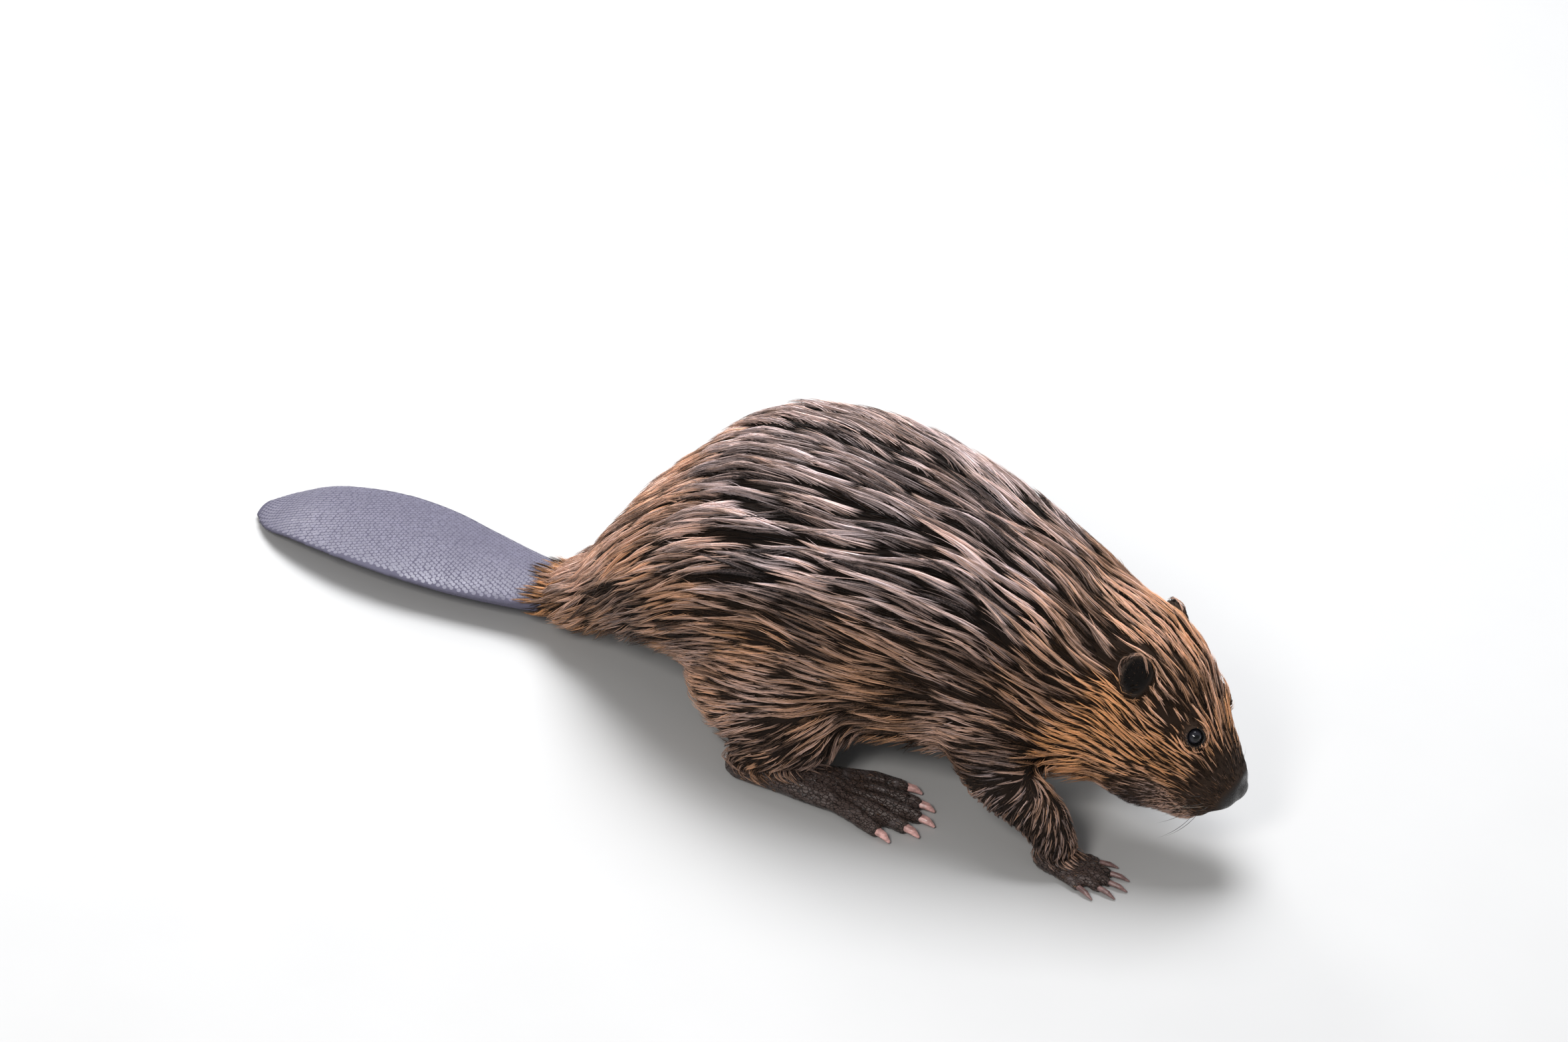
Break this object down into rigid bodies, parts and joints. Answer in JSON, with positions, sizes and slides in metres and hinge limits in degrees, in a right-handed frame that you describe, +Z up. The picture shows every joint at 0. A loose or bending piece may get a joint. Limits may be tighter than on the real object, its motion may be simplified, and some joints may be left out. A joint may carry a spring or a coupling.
{
  "type": "beaver",
  "caption": "Adult beaver at life size, creeping with its head down: thick wet coat, broad scaly tail laid flat behind, webbed hind feet, small ears.",
  "frame": {"origin": "on the floor, beneath the middle of the animal's whole length and width", "axes": "+X towards the head, +Y to the animal's left, +Z up"},
  "size_m": [0.9214, 0.268, 0.2877],
  "materials": {
    "coat": "long wet fur in clumped strands, grey-brown over near black",
    "face": "shorter wet fur, warm orange-brown",
    "ear_skin": "black skin with very short dark fur",
    "nose_skin": "black, moist, finely pebbled skin",
    "tail_skin": "slate-grey leathery skin in small scales",
    "foot_skin": "wet dark brown-black skin over ridged toes",
    "claw": "smooth pinkish-brown horn",
    "eye": "wet, dark and glossy"
  },
  "bodies": {
    "root": {"neck": "coat", "shoulders": "coat", "trunk": "coat", "rump": "coat", "tail_root": "coat", "head": "face", "nose": "nose_skin", "tail": "tail_skin", "eye_right": "eye", "ear_right": "ear_skin", "hind_upper_leg_right": "coat", "hind_lower_leg_right": "coat", "hind_foot_right": "foot_skin", "hind_claw_right_1": "claw", "hind_claw_right_2": "claw", "hind_claw_right_3": "claw", "hind_claw_right_4": "claw", "hind_claw_right_5": "claw", "fore_upper_leg_right": "coat", "fore_lower_leg_right": "coat", "fore_foot_right": "foot_skin", "fore_claw_right_1": "claw", "fore_claw_right_2": "claw", "fore_claw_right_3": "claw", "fore_claw_right_4": "claw", "fore_claw_right_5": "claw", "eye_left": "eye", "ear_left": "ear_skin", "hind_upper_leg_left": "coat", "hind_lower_leg_left": "coat", "hind_foot_left": "foot_skin", "hind_claw_left_1": "claw", "hind_claw_left_2": "claw", "hind_claw_left_3": "claw", "hind_claw_left_4": "claw", "hind_claw_left_5": "claw", "fore_upper_leg_left": "coat", "fore_lower_leg_left": "coat", "fore_foot_left": "foot_skin", "fore_claw_left_1": "claw", "fore_claw_left_2": "claw", "fore_claw_left_3": "claw", "fore_claw_left_4": "claw", "fore_claw_left_5": "claw"}
  },
  "joints": []
}
